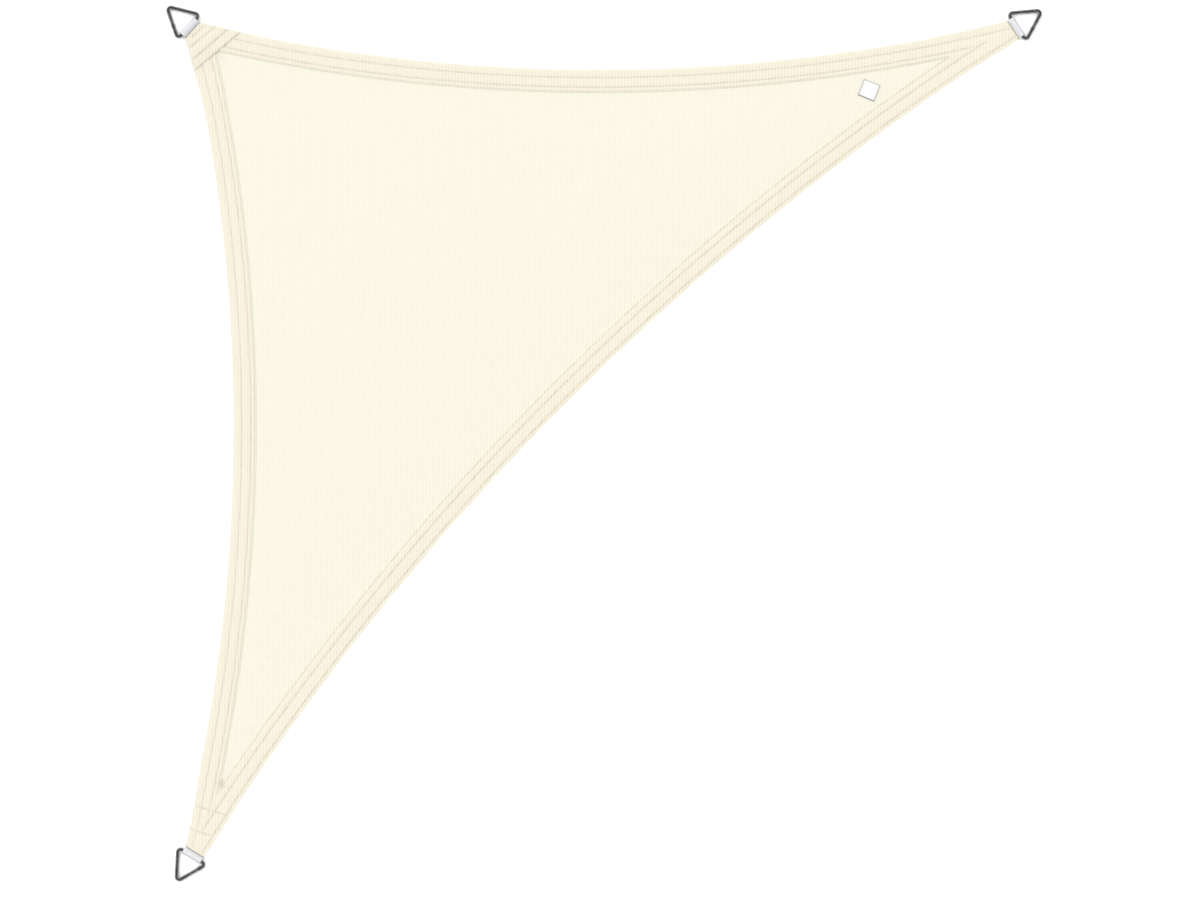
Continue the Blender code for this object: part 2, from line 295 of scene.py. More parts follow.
tipOut = ring["tipBend"] + ring["rod"]
cadHalf = (cadHigh.x - cadLow.x) / 2
corners = {
    "square": {"tip": Vector((-cadHalf + tipOut, cadHalf - tipOut)), "facing": math.radians(137.5),
               "before": "top", "after": "left", "weldSide": 1, "weldAt": 0.62},
    "foot": {"tip": Vector((-cadHalf + 0.0306, -cadHalf + tipOut)), "facing": math.radians(238.5),
             "before": "left", "after": "long", "weldSide": 1, "weldAt": 0.86},
    "right": {"tip": Vector((cadHalf - tipOut, cadHalf - 0.0190)), "facing": math.radians(33.5),
              "before": "long", "after": "top", "weldSide": -1, "weldAt": 0.62},
}


def angleOf(hem, point):
    offset = point - hems[hem]["centre"]
    return math.atan2(offset.y, offset.x)


def meetingPoint(first, second, near):
    # where the inner edges of two hems cross
    reachFirst = hems[first]["radius"] + sail["hem"]
    reachSecond = hems[second]["radius"] + sail["hem"]
    between = hems[second]["centre"] - hems[first]["centre"]
    span = between.length
    along = (reachFirst ** 2 - reachSecond ** 2 + span ** 2) / (2 * span)
    aside = math.sqrt(reachFirst ** 2 - along ** 2)
    foot = hems[first]["centre"] + between * (along / span)
    across = Vector((-between.y, between.x)) * (aside / span)
    return min((foot + across, foot - across), key=lambda point: (point - near).length)


for corner in corners.values():
    corner["out"] = direction(corner["facing"])
    corner["across"] = direction(corner["facing"] + math.pi / 2)
    corner["bar"] = corner["tip"] - ring["tipReach"] * corner["out"]
    corner["cut"] = corner["bar"] - sail["cutFromBar"] * corner["out"]
    corner["inner"] = meetingPoint(corner["before"], corner["after"], corner["cut"])


def cutCorner(corner, hem):
    # the end of the cut edge that lies on one of the corner's two hems
    side = 1 if hem == corner["before"] else -1
    return corner["cut"] - side * sail["cutWidth"] / 2 * corner["across"]


# How far each hem's edge leaves its arc towards its two corners, so that it meets the cut ends.
for hemName, hem in hems.items():
    hem["flares"] = []
    for corner in corners.values():
        if hemName in (corner["before"], corner["after"]):
            end = cutCorner(corner, hemName)
            amount = hem["radius"] - (end - hem["centre"]).length
            hem["flares"].append((angleOf(hemName, end), amount))


def flare(hemName, angle):
    hem = hems[hemName]
    total = 0.0
    for endAngle, amount in hem["flares"]:
        distance = abs(angle - endAngle) * hem["radius"]
        share = max(0.0, 1 - (distance / sail["flareLength"]) ** 2)
        total += amount * share ** 2
    return total


def hemPoint(hemName, angle, inset):
    # a place on a hem, at a distance in from its folded edge
    hem = hems[hemName]
    shift = flare(hemName, angle) * (1 - inset / sail["hem"])
    return hem["centre"] + (hem["radius"] - shift + inset) * direction(angle)


def insetOf(hemName, point):
    hem = hems[hemName]
    offset = point - hem["centre"]
    stand = flare(hemName, math.atan2(offset.y, offset.x))
    return (offset.length - hem["radius"] + stand) / (1 + stand / sail["hem"])


def nearestHem(point):
    return min((insetOf(hemName, point), hemName) for hemName in hems)


# Rows of stitches. Rows along a hem run between two angles, and cross rows are straight.

cornerRows = {
    "square": (((-0.9155, 0.9513), (-0.9424, 0.9267)), ((-0.8899, 0.9500), (-0.9447, 0.9047)),
               ((-0.8595, 0.9454), (-0.9376, 0.8778)), ((-0.8374, 0.9360), (-0.9331, 0.8545))),
    "foot": (((-0.9155, -0.7613), (-0.8282, -0.7985)), ((-0.9331, -0.8266), (-0.8609, -0.8499)),
             ((-0.9470, -0.8780), (-0.8935, -0.8967))),
    "right": (),
}
patch = {
    "reach": 0.0742,  # from the cut end, along the corner's middle
    "inset": 0.0020,
    "skew": math.radians(-7.1),
    "thickness": 0.0009,
    "gap": 0.0002,
    "cell": 0.0024,
}

stitch = {
    "pitch": 0.0068,
    "thread": 0.00046,  # radius
    "sides": 6,
    "steps": 6,  # along one stitch
    "lift": 0.00030,
    "sink": 0.00075,
    "underSteps": 4,  # the same for the thread underneath
    "underLift": 0.00012,
    "twist": 620.0,  # strands passed in a metre
    "roundness": 0.6,  # how fully a stitch arches; less is fuller
    "stopShort": 0.004,  # from the cut end
    "crossPitch": 0.0062,
    # how dark each corner's cross rows are painted: painted shade of their dents, with some soil
    "crossShadeAndSoil": {"square": 1.4, "foot": 1.0, "right": 1.0},
}


def underPatch(point):
    corner = corners["square"]
    line = direction(corner["facing"] + math.pi / 2 + patch["skew"])
    offset = point - (corner["cut"] - patch["reach"] * corner["out"])
    return line.x * offset.y - line.y * offset.x < 0


def pastCorner(hemName, corner, point):
    # whether a row of stitches along a hem has come to its end at a corner
    other = corner["after"] if hemName == corner["before"] else corner["before"]
    if (point - corner["cut"]).dot(corner["out"]) > -stitch["stopShort"]:
        return True
    if corner is corners["square"] and underPatch(point):
        return True
    return insetOf(other, point) < insetOf(hemName, point)


def lastAngle(hemName, inset, near, far, isPast):
    # the last angle, going from one to another, before a row of a hem is past something
    for _ in range(40):
        half = (near + far) / 2
        if isPast(hemPoint(hemName, half, inset)):
            far = half
        else:
            near = half
    return near


def hemEnds(hemName):
    start = next(corner for corner in corners.values() if corner["after"] == hemName)
    end = next(corner for corner in corners.values() if corner["before"] == hemName)
    return start, end


def findHemRows():
    rows = []
    for hemName, hem in hems.items():
        ends = hemEnds(hemName)
        reach = [angleOf(hemName, cutCorner(corner, hemName)) for corner in ends]
        for inset, shadeAndSoil in zip(hem["rows"], hem["shadeAndSoil"]):
            span = [lastAngle(hemName, inset, sum(reach) / 2, far,
                              lambda point: pastCorner(hemName, corner, point))
                    for corner, far in zip(ends, reach)]
            rows.append({"hem": hemName, "inset": inset, "shadeAndSoil": shadeAndSoil, "span": span})
    return rows


hemRows = findHemRows()


def rowGaps(point):
    # how far a place on the cloth is from each row of stitches beside it, and how strongly the row shows
    inset, hemName = nearestHem(point)
    angle = angleOf(hemName, point)
    gaps = [(1.0, 0.0)]
    for row in hemRows:
        if row["hem"] == hemName and min(row["span"]) <= angle <= max(row["span"]):
            gaps.append((abs(inset - row["inset"]), row["shadeAndSoil"]))
    for cornerName, rows in cornerRows.items():
        for first, last in rows:
            first = Vector(first)
            line = Vector(last) - first
            share = min(1.0, max(0.0, (point - first).dot(line) / line.length_squared))
            gaps.append(((point - first - share * line).length, stitch["crossShadeAndSoil"][cornerName]))
    return gaps


def stitchDistance(point):
    return min(gap for gap, _ in rowGaps(point))


def shadeAndSoilAt(point):
    # how much darker the cloth is painted: along the rows of stitches, painted shade of their dents with
    # some soil, and across the cut ends at the webbing, a painted shadow
    shadeAndSoil = max(weight * math.exp(-(gap / sail["seamWidth"]) ** 2) for gap, weight in rowGaps(point))
    # a painted shadow across each cut end, beside the webbing
    for corner in corners.values():
        if (point - corner["cut"]).length < sail["cutWidth"]:
            gap = abs((point - corner["cut"]).dot(corner["out"]))
            shadeAndSoil = max(shadeAndSoil, sail["cutShadow"] * math.exp(-(gap / sail["seamWidth"]) ** 2))
    return shadeAndSoil


def topOfCloth(point):
    # height of the hem's upper face, with the thick corners and the dents of the stitches
    share = 0.0
    for corner in corners.values():
        if (point - corner["cut"]).length < sail["cornerZone"]:
            inward = (corner["cut"] - point).dot(corner["out"])
            share = 1 - smoothStep(*sail["ramp"], inward)
    plain = 2 * sail["cloth"] + sail["loft"]
    height = plain + (sail["cornerTop"] - plain) * share
    gap = stitchDistance(point)
    inset = nearestHem(point)[0]
    height -= sail["dimple"] * math.exp(-(gap / sail["dimpleWidth"]) ** 2)
    height += sail["bulge"] * smoothStep(*sail["bulgeRun"], min(gap, inset))
    past = max(0.0, inset - sail["hem"] + sail["rawRun"])
    height -= sail["rawDrop"] * min(1.0, past / sail["rawRun"])
    return max(height, plain - sail["rawDrop"])


def bottomOfCloth(point):
    # height of the hem's underside, which is flat again where it turns into the panel
    inset = nearestHem(point)[0]
    start, end = sail["liftEnds"]
    share = 1 - smoothStep(sail["hem"] - start, sail["hem"] - end, inset)
    return sail["lift"] * share * math.exp(-(stitchDistance(point) / sail["dimpleWidth"]) ** 2)


def wave(point, size):
    return noise.noise(Vector((point.x * size[0], point.y * size[1], size[2])))


def riseOfPanel(point):
    # the single cloth lies a little unevenly inside its hems
    start, end = sail["unevenRun"]
    share = smoothStep(sail["hem"] + start, sail["hem"] + end, nearestHem(point)[0])
    broad, fine = wave(point, sail["broadWave"]), wave(point, sail["fineWave"])
    return sail["uneven"] * share * max(0.0, 0.5 + 0.8 * broad + 0.3 * fine)


# The cloth is a grid for each hem's upper layer, joined at the corners, folded under along the edges,
# and closed by the sheet underneath, which is the panel in the middle.

def hemColumns(hemName):
    # distances in from the folded edge, closer together where stitches dent the cloth
    columns = [sail["foldIn"]]
    for row in hems[hemName]["rows"]:
        columns += [(columns[-1] + row - sail["dent"]) / 2, row - sail["dent"], row,
                    min(row + sail["dent"], sail["hem"] - 0.0008)]
    return columns + [sail["hem"]]


def addBand(bm, hemName):
    start, end = hemEnds(hemName)
    first = angleOf(hemName, start["inner"])
    last = angleOf(hemName, end["inner"])
    columns = hemColumns(hemName)
    stations = math.ceil(abs(last - first) * hems[hemName]["radius"] / sail["station"])
    for vert in newGrid(bm, stations, len(columns) - 1):
        column = round((vert.co.y + 0.5) * (len(columns) - 1))
        vert.co.xy = hemPoint(hemName, first + (last - first) * (vert.co.x + 0.5), columns[column])


def foldedEdge(hemName, corner):
    # places along a folded edge, from a hem's last station to the cut end
    near = angleOf(hemName, corner["inner"])
    far = angleOf(hemName, cutCorner(corner, hemName))
    steps = math.ceil(abs(far - near) * hems[hemName]["radius"] / (2 * sail["cornerCell"]))
    run = [hemPoint(hemName, near + (far - near) * i / steps, sail["foldIn"]) for i in range(1, steps)]
    side = 1 if hemName == corner["before"] else -1
    return run + [cutCorner(corner, hemName) + side * sail["foldIn"] * corner["across"]]


def addCorner(bm, corner, marks, mark):
    before, after = corner["before"], corner["after"]
    sides = [[hemPoint(hemName, angleOf(hemName, corner["inner"]), column)
              for column in hemColumns(hemName)] for hemName in (before, after)]
    outline = [*sides[0][::-1], *foldedEdge(before, corner),
               *foldedEdge(after, corner)[::-1], *sides[1][:-1]]
    face = bm.faces.new([bm.verts.new((*point, 0)) for point in outline])
    face[marks] = mark


def cutGrid(bm, marks, mark, origin, axis, low, high, cell):
    # split the faces that bear a mark along evenly spaced lines
    count = math.ceil((high - low) / cell)
    for i in range(1, count):
        faces = [face for face in bm.faces if face[marks] == mark]
        edges = {edge for face in faces for edge in face.edges}
        verts = {vert for face in faces for vert in face.verts}
        place = origin + axis * (low + (high - low) * i / count)
        bmesh.ops.bisect_plane(bm, geom=[*verts, *edges, *faces], dist=1e-5,
                               plane_co=(*place, 0), plane_no=(*axis, 0))


def cutEndAt(point):
    # the corner whose cut end a place is on
    for corner in corners.values():
        offset = point - corner["cut"]
        if abs(offset.dot(corner["out"])) < 1e-5 and offset.length < sail["cutWidth"]:
            return corner
    return None


def outwardAt(point):
    # the level way out of the cloth at a folded edge
    corner = cutEndAt(point)
    if corner:
        return corner["across"] * math.copysign(1, (point - corner["cut"]).dot(corner["across"]))
    return (hems[nearestHem(point)[1]]["centre"] - point).normalized()


def foldUnder(bm, edges):
    # round the upper layer's outer edge down to the layer underneath
    folds = {}
    for vert in {vert for edge in edges for vert in edge.verts}:
        point = Vector(vert.co.xy)
        alongX, alongY = sail["scallopWave"]
        ripple = sail["scallop"] * math.sin(point.x * alongX) * math.cos(point.y * alongY)
        out = outwardAt(point) * (sail["foldOut"] - sail["cloth"] / 2 + ripple)
        folds[vert] = (point, out, vert.co.z, bottomOfCloth(point) + sail["cloth"] / 2)
    for step in range(1, sail["foldSteps"] + 1):
        turn = math.pi * step / sail["foldSteps"]
        fresh, edges = extrudeEdges(bm, edges)
        for vert in fresh:
            source = next(edge.other_vert(vert) for edge in vert.link_edges
                          if edge.other_vert(vert) not in fresh)
            folds[vert] = point, out, high, low = folds[source]
            level = (high + low) / 2 + (high - low) / 2 * math.cos(turn)
            vert.co = (*(point + out * math.sin(turn)), level)


def rimEdges(bm, verts, inner):
    # free edges of a hem's layer, along the panel or along the fold, without the cut ends
    found = []
    for edge in bm.edges:
        if edge.is_boundary and all(vert in verts for vert in edge.verts):
            first, last = (Vector(vert.co.xy) for vert in edge.verts)
            atPanel = nearestHem((first + last) / 2)[0] > sail["hem"] / 2
            atCut = cutEndAt(first) and cutEndAt(last)
            if atPanel == inner and not atCut:
                found.append(edge)
    return found


def paintCloth(bm, verts):
    # masks for the finish: the hems, and the painted shade, with some soil, along their lines of stitches
    # and at the cut ends
    hemShare, seamShare = (bm.verts.layers.float[name] for name in ("hem", "seam"))
    start, end = sail["hem"] - sail["tintRun"][0], sail["hem"] + sail["tintRun"][1]
    for vert in verts:
        point = Vector(vert.co.xy)
        vert[hemShare] = 1 - smoothStep(start, end, nearestHem(point)[0])
        vert[seamShare] = shadeAndSoilAt(point)


def newCloth():
    bm = bmesh.new()
    marks = bm.faces.layers.int.new("part")
    for name in ("hem", "seam"):
        bm.verts.layers.float.new(name)
    bm.verts.layers.deform.verify()
    return bm, marks


def cutCornerGrid(bm, marks, mark, corner, cell):
    places = [Vector(vert.co.xy) - corner["cut"] for face in bm.faces if face[marks] == mark
              for vert in face.verts]
    length = max(-place.dot(corner["out"]) for place in places)
    half = max(abs(place.dot(corner["across"])) for place in places)
    cutGrid(bm, marks, mark, corner["cut"], -corner["out"], 0, length, cell)
    cutGrid(bm, marks, mark, corner["cut"], corner["across"], -half, half, cell)


def buildCloth(material):
    bm, marks = newCloth()
    for hemName in hems:
        addBand(bm, hemName)
    for mark, corner in enumerate(corners.values(), start=1):
        addCorner(bm, corner, marks, mark)
    bmesh.ops.remove_doubles(bm, verts=bm.verts, dist=sail["merge"])
    for mark, corner in enumerate(corners.values(), start=1):
        cutCornerGrid(bm, marks, mark, corner, sail["cornerCell"])
    for vert in bm.verts:
        vert.co.z = topOfCloth(Vector(vert.co.xy)) - sail["cloth"] / 2
    paintCloth(bm, bm.verts)
    print("upper layer of the hems:", len(bm.faces), "faces")

    upper = set(bm.verts)
    outer = rimEdges(bm, upper, inner=False)
    lower = onlyVerts(bmesh.ops.duplicate(bm, geom=[*bm.verts, *bm.edges, *bm.faces])["geom"])
    hemShare = bm.verts.layers.float["hem"]
    full = bm.verts.layers.deform.verify()
    for vert in bm.verts:
        vert[full][0] = 1.0
    for vert in upper:
        if nearestHem(Vector(vert.co.xy))[0] > sail["hem"] - sail["rim"]:
            vert[full][0] = 0.0
    for vert in lower:
        point = Vector(vert.co.xy)
        vert.co.z = bottomOfCloth(point) + sail["cloth"] / 2
        if nearestHem(point)[0] > sail["hem"] - sail["rim"]:
            vert[hemShare] = 0
    foldUnder(bm, outer)
    panelRim = rimEdges(bm, set(lower), inner=True)
    panel = bmesh.ops.contextual_create(bm, geom=panelRim)["faces"][0]
    panelMark = len(corners) + 1
    panel[marks] = panelMark
    hemVerts = set(bm.verts)
    for axis in (Vector((1, 0)), Vector((0, 1))):
        cutGrid(bm, marks, panelMark, Vector((0, 0)), axis, -cadHalf, cadHalf, sail["panelCell"])
    panelVerts = [vert for vert in bm.verts if vert not in hemVerts]
    for vert in panelVerts:
        vert.co.z = sail["cloth"] / 2 + riseOfPanel(Vector(vert.co.xy))
        vert[hemShare] = 0
        vert[full][0] = 1.0
    bmesh.ops.remove_doubles(bm, verts=bm.verts, dist=sail["merge"])
    bmesh.ops.recalc_face_normals(bm, faces=bm.faces)
    cloth = linkMesh(bm, "sailCloth", material, sharpAngle=50)
    cloth.vertex_groups.new(name="full thickness")
    wall = thicken(cloth, sail["cloth"])
    wall.vertex_group = "full thickness"
    wall.thickness_vertex_group = sail["rawThin"]
    print("sail cloth:", len(cloth.data.polygons), "faces")
    return cloth


# The patch over the right-angled corner is a layer of the same cloth.

def buildPatch(material):
    corner = corners["square"]
    nearLine = corner["cut"] - patch["inset"] * corner["out"]
    sides = []
    for hemName in (corner["before"], corner["after"]):
        cutAngle = angleOf(hemName, cutCorner(corner, hemName))
        awayAngle = angleOf(hemName, corner["cut"] - 2 * patch["reach"] * corner["out"])
        far = lastAngle(hemName, patch["inset"], cutAngle, awayAngle,
                        lambda point: not underPatch(point))
        near = lastAngle(hemName, patch["inset"], awayAngle, cutAngle,
                         lambda point: (point - nearLine).dot(corner["out"]) > 0)
        steps = math.ceil(abs(far - near) * hems[hemName]["radius"] / patch["cell"])
        sides.append([hemPoint(hemName, far + (near - far) * i / steps, patch["inset"])
                      for i in range(steps + 1)])
    bm, marks = newCloth()
    bm.faces.new([bm.verts.new((*point, 0)) for point in sides[0] + sides[1][::-1]])
    cutCornerGrid(bm, marks, 0, corner, patch["cell"])
    for vert in bm.verts:
        vert.co.z = topOfCloth(Vector(vert.co.xy)) + patch["gap"] + patch["thickness"] / 2
    paintCloth(bm, bm.verts)
    bmesh.ops.recalc_face_normals(bm, faces=bm.faces)
    piece = linkMesh(bm, "cornerPatch", material)
    thicken(piece, patch["thickness"])
    return piece


# Thread: each row is one tube that comes up over every stitch and dips into the cloth between them.

def surfaceAt(point):
    height = topOfCloth(point)
    if underPatch(point):
        height += patch["thickness"] + patch["gap"]
    return height


threadFaces = {1: ("hemThread_", surfaceAt), -1: ("underThread_", bottomOfCloth)}


def threadMiddles(holes, heightAt, side):
    # the middle line of a row; side is 1 on top of the cloth and -1 underneath it, where the thread
    # lies no lower than the floor
    steps = stitch["steps"] if side > 0 else stitch["underSteps"]
    lift = stitch["lift"] if side > 0 else stitch["underLift"]
    middles = []
    for i in range((len(holes) - 1) * steps + 1):
        place = min(i // steps, len(holes) - 2)
        share = i / steps - place
        point = holes[place].lerp(holes[place + 1], share)
        arch = abs(math.sin(math.pi * share)) ** stitch["roundness"]
        stand = (stitch["sink"] + lift) * arch - stitch["sink"]
        height = max(heightAt(point) + side * stand, stitch["thread"])
        middles.append(Vector((*point, height)))
    return middles


def addThread(bm, uv, holes, heightAt, side=1):
    middles = threadMiddles(holes, heightAt, side)
    count = len(middles) - 1
    length = sum((after - before).length for before, after in zip(middles, middles[1:]))
    made = newGrid(bm, count, stitch["sides"])
    for vert in made:
        i = round((vert.co.x + 0.5) * count)
        share = vert.co.y + 0.5
        mapVert(vert, uv, (i / count * length, share))
        along = (middles[min(count, i + 1)] - middles[max(0, i - 1)]).normalized()
        aside = Vector((-along.y, along.x, 0)).normalized()
        spoke = aside * math.cos(share * math.tau) + along.cross(aside) * math.sin(share * math.tau)
        vert.co = middles[i] + stitch["thread"] * spoke
    bmesh.ops.remove_doubles(bm, verts=made, dist=1e-6)


def linkThread(bm, name, material):
    ends = [edge for edge in bm.edges if edge.is_boundary]
    bmesh.ops.holes_fill(bm, edges=ends, sides=stitch["sides"])
    bmesh.ops.recalc_face_normals(bm, faces=bm.faces)
    piece = linkMesh(bm, name, material, sharpAngle=180)
    print(name + ":", len(piece.data.polygons), "faces")
    return piece


def rowHoles(row):
    # the needle holes of a row along a hem
    start, end = row["span"]
    length = abs(end - start) * (hems[row["hem"]]["radius"] + row["inset"])
    count = round(length / stitch["pitch"])
    return [hemPoint(row["hem"], start + (end - start) * i / count, row["inset"])
            for i in range(count + 1)]


def crossHoles(first, last):
    first, last = Vector(first), Vector(last)
    count = round((last - first).length / stitch["crossPitch"])
    return [first.lerp(last, i / count) for i in range(count + 1)]


def buildThread(place, rows, material, side):
    prefix, heightAt = threadFaces[side]
    bm = bmesh.new()
    uv = bm.loops.layers.uv.new("run")
    for holes in rows:
        addThread(bm, uv, holes, heightAt, side)
    return linkThread(bm, prefix + place, material)


sewn = {hemName: [rowHoles(row) for row in hemRows if row["hem"] == hemName] for hemName in hems}
sewn["corners"] = [crossHoles(*row) for rows in cornerRows.values() for row in rows]


# Webbing: a strip folded round the ring's bar, with both tails inside the corner.

webbing = {
    "thickness": 0.0014,
    "width": 0.0473,
    "clearance": 0.0004,  # to the bar
    "room": 0.0015,  # what each thickness takes up
    "tail": 0.034,
    "throat": 0.001,
    "lowTail": 0.00225,  # height of the middle of the lower tail
    "tailGap": 0.0018,
    "bend": 0.0030,  # length of the soft bend where the tails meet the loop
    "loopSteps": 36,
    "bendSteps": 5,
    "acrossSteps": 12,
    "edgeRound": 0.00035,
    "twill": 0.0021,  # from ridge to ridge
    "pick": 0.0011,
    "chevron": 0.006,  # how far a ridge slants before it turns back
    "selvedge": (0.0205, 0.0222),  # from the middle
    "foldShade": 0.0055,  # how far from the fold round the bar the painted shade reaches
    "mouth": 0.0014,  # half the width of the painted shadow line at the cloth
}
loopRadius = ring["rod"] + webbing["clearance"] + webbing["room"] / 2
barHeight = loopRadius + webbing["room"] / 2


def cornerFrame(corner):
    # from a corner's own axes (out, across, up, at its bar) to the object's
    turn = Matrix.Rotation(corner["facing"], 4, "Z")
    return Matrix.Translation((*corner["bar"], barHeight)) @ turn


def touchAngle(point, side):
    # where a straight line from a point touches the loop round the bar
    return math.atan2(point.y, point.x) - side * math.acos(loopRadius / point.length)


def softBend(before, middle, after):
    # a curve that rounds a corner between two straights
    start = middle + (before - middle).normalized() * webbing["bend"]
    end = middle + (after - middle).normalized() * webbing["bend"]
    shares = [i / webbing["bendSteps"] for i in range(webbing["bendSteps"] + 1)]
    return [start.lerp(middle, share).lerp(middle.lerp(end, share), share) for share in shares]


def loopPath():
    # the webbing's middle line, as distance out and height from the middle of the bar
    lower = webbing["lowTail"] - barHeight
    upper = lower + webbing["tailGap"]
    throat = webbing["throat"] - sail["cutFromBar"]
    tailEnd = -sail["cutFromBar"] - webbing["tail"]
    start = touchAngle(Vector((throat, upper)), 1)
    end = touchAngle(Vector((throat, lower)), -1)
    turn = (end - start) % math.tau - math.tau
    loop = [loopRadius * direction(start + turn * i / webbing["loopSteps"])
            for i in range(webbing["loopSteps"] + 1)]
    path = [Vector((tailEnd, upper))]
    path += softBend(path[0], Vector((throat, upper)), loop[0])
    path += loop
    path += softBend(loop[-1], Vector((throat, lower)), Vector((tailEnd, lower)))
    return path + [Vector((tailEnd, lower))]


webbing["path"] = loopPath()
webbing["runs"] = [0.0]
for before, after in zip(webbing["path"], webbing["path"][1:]):
    webbing["runs"].append(webbing["runs"][-1] + (after - before).length)
webbing["length"] = webbing["runs"][-1]


def buildWebbing(cornerName, material):
    path = webbing["path"]
    bm = bmesh.new()
    uv = bm.loops.layers.uv.new("run")
    for vert in newGrid(bm, len(path) - 1, webbing["acrossSteps"]):
        i = round((vert.co.x + 0.5) * (len(path) - 1))
        across = vert.co.y * webbing["width"]
        mapVert(vert, uv, (webbing["runs"][i], across))
        vert.co = (path[i].x, across, path[i].y)
    placed(bm, cornerFrame(corners[cornerName]))
    bmesh.ops.recalc_face_normals(bm, faces=bm.faces)
    piece = linkMesh(bm, "webbingLoop_" + cornerName, material)
    thicken(piece, webbing["thickness"])
    edge = piece.modifiers.new("rounded edge", "BEVEL")
    edge.width = webbing["edgeRound"]
    edge.segments = 2
    edge.limit_method = "ANGLE"
    edge.angle_limit = math.radians(60)
    return piece


# Rings: a round rod bent to a triangle, with its ends welded on one side.

def ringBends():
    # centre and radius of each bend, and the way that each straight faces
    half = ring["barStraight"] / 2
    bends = [(Vector((ring["barBend"], -half)), ring["barBend"]),
             (Vector((ring["tipReach"], 0)), ring["tipBend"]),
             (Vector((ring["barBend"], half)), ring["barBend"])]
    facing = []
    for (centre, radius), (nextCentre, nextRadius) in zip(bends, bends[1:] + bends[:1]):
        between = nextCentre - centre
        lean = math.asin((nextRadius - radius) / between.length)
        facing.append(math.atan2(between.y, between.x) - math.pi / 2 - lean)
    return bends, facing


def drawRod(bm, edges, start, along, shape):
    # extrude the rod's end along a straight, with its thickness at each share of the way
    reached, size = 0.0, 1.0
    for place, swell in shape:
        fresh, edges = extrudeEdges(bm, edges)
        verts = list(fresh)
        bmesh.ops.translate(bm, verts=verts, vec=(*(along * (place - reached)), 0))
        middle = start + along * place
        bmesh.ops.scale(bm, verts=verts, vec=(swell / size,) * 3,
                        space=Matrix.Translation((-middle.x, -middle.y, 0)))
        reached, size = place, swell
    return edges


def buildRing(cornerName, material):
    corner = corners[cornerName]
    bends, facing = ringBends()
    weldRun = 1 if corner["weldSide"] > 0 else 0
    weldAt = corner["weldAt"] if corner["weldSide"] > 0 else 1 - corner["weldAt"]
    bm = bmesh.new()
    loop = bmesh.ops.create_circle(bm, segments=ring["sides"], radius=ring["rod"])["verts"]
    bmesh.ops.rotate(bm, verts=loop, matrix=Matrix.Rotation(math.pi / 2, 3, "X"))
    bmesh.ops.translate(bm, verts=loop, vec=(0, -ring["barStraight"] / 2, 0))
    edges = bm.edges[:]
    for run, (centre, radius) in enumerate(bends):
        turn = (facing[run] - facing[run - 1]) % math.tau
        ends = {vert for edge in edges for vert in edge.verts}
        spun = bmesh.ops.spin(bm, geom=[*edges, *ends], cent=(*centre, 0), axis=(0, 0, 1), angle=turn,
                              steps=ring["bendSteps"], use_merge=False, use_duplicate=False)
        nextCentre, nextRadius = bends[(run + 1) % 3]
        start = centre + radius * direction(facing[run])
        along = nextCentre + nextRadius * direction(facing[run]) - start
        shape = [(1.0, 1.0)]
        if run == weldRun:
            share = ring["weldLength"] / along.length
            shape = [(weldAt + place * share, swell) for place, swell in ring["weldShape"]] + shape
        edges = drawRod(bm, onlyEdges(spun["geom_last"]), start, along, shape)
    bmesh.ops.remove_doubles(bm, verts=bm.verts, dist=1e-5)
    bmesh.ops.recalc_face_normals(bm, faces=bm.faces)
    tilt = math.atan2(barHeight - ring["rod"], ring["tipReach"] + ring["tipBend"])
    placed(bm, cornerFrame(corner) @ Matrix.Rotation(tilt, 4, "Y"))
    return linkMesh(bm, "triangleRing_" + cornerName, material, sharpAngle=60)


# Label: a small blank square of smooth tape, sewn down round its edge.

label = {
    "middle": Vector((0.605, 0.807)),
    "turn": math.radians(-22),
    "size": 0.0395,
    "thickness": 0.0007,
    "cells": 16,
    "gap": 0.0002,
    "curl": 0.0005,  # how far its corners stand off the cloth
    "border": (0.0182, 0.0187),  # from the middle
    # where the painted shadow along the bottom edge starts and ends, from the middle
    "bottom": (-0.0175, -0.0165),
    "weft": 0.0006,
    "stitchIn": 0.0016,
    "stitchPitch": 0.0031,
}


def labelPlace(across, up):
    turn = label["turn"]
    return label["middle"] + across * direction(turn) + up * direction(turn + math.pi / 2)


def labelTop(point):
    return riseOfPanel(point) + sail["cloth"] + label["gap"] + label["thickness"]


def buildLabel(material):
    bm = bmesh.new()
    uv = bm.loops.layers.uv.new("face")
    for vert in newGrid(bm, label["cells"], label["cells"]):
        across, up = vert.co.x * label["size"], vert.co.y * label["size"]
        mapVert(vert, uv, (across, up))
        point = labelPlace(across, up)
        curl = label["curl"] * smoothStep(0.6, 1.0, abs(across * up) / (label["size"] / 2) ** 2)
        vert.co = (*point, labelTop(point) - label["thickness"] / 2 + curl)
    bmesh.ops.recalc_face_normals(bm, faces=bm.faces)
    piece = linkMesh(bm, "blankLabel", material)
    thicken(piece, label["thickness"])
    return piece


def buildLabelThread(material):
    half = label["size"] / 2 - label["stitchIn"]
    count = round(2 * half / label["stitchPitch"])
    turns = [Vector(turn) * half for turn in ((-1, -1), (1, -1), (1, 1), (-1, 1))]
    bm = bmesh.new()
    uv = bm.loops.layers.uv.new("run")
    for start, end in zip(turns, turns[1:] + turns[:1]):
        holes = [labelPlace(*start.lerp(end, i / count)) for i in range(count + 1)]
        addThread(bm, uv, holes, labelTop)
    return linkThread(bm, "labelThread", material)


# Finishes.

def fromScreen(red, green, blue):
    # a colour as a screen shows it, from 0 to 255, made linear
    return tuple(((value / 255 + 0.055) / 1.055) ** 2.4 for value in (red, green, blue))


